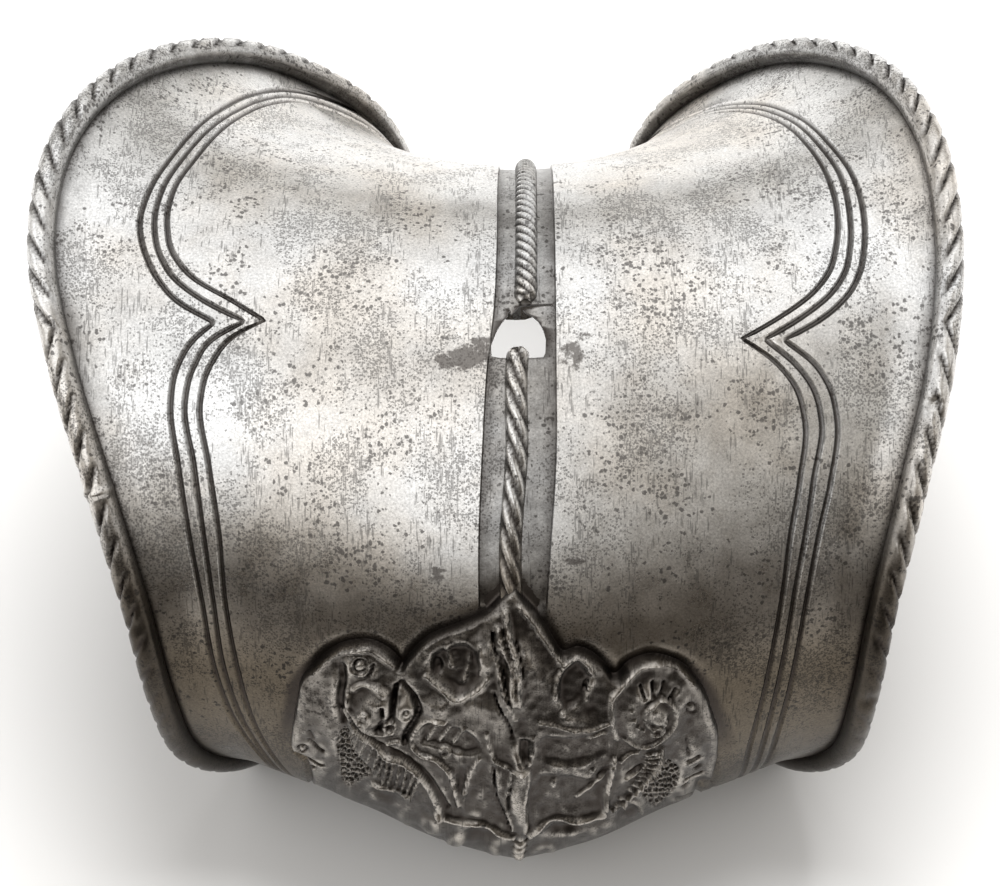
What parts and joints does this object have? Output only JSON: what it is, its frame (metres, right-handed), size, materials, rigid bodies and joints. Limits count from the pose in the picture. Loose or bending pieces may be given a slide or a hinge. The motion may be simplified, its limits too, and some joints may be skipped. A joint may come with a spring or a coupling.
{
  "type": "couter",
  "caption": "One-piece steel couter with a heart-shaped wing, turned roped edges, a roped median ridge and an embossed elbow point.",
  "frame": {"origin": "on the surface it stands on, under the middle of its outer box; the arm axis is 28 mm above it and 3 mm behind", "axes": "+X along the arm to the right-hand edge, -Y out of the point of the elbow, +Y towards the crook of the arm, +Z out of the outer side of the arm"},
  "size_m": [0.1571, 0.1515, 0.0935],
  "materials": {
    "worn_steel": "worn bright steel, finely pitted, with dark grime in the grooves and the ornament"
  },
  "bodies": {
    "root": {"couter_plate": "worn_steel"}
  },
  "joints": []
}
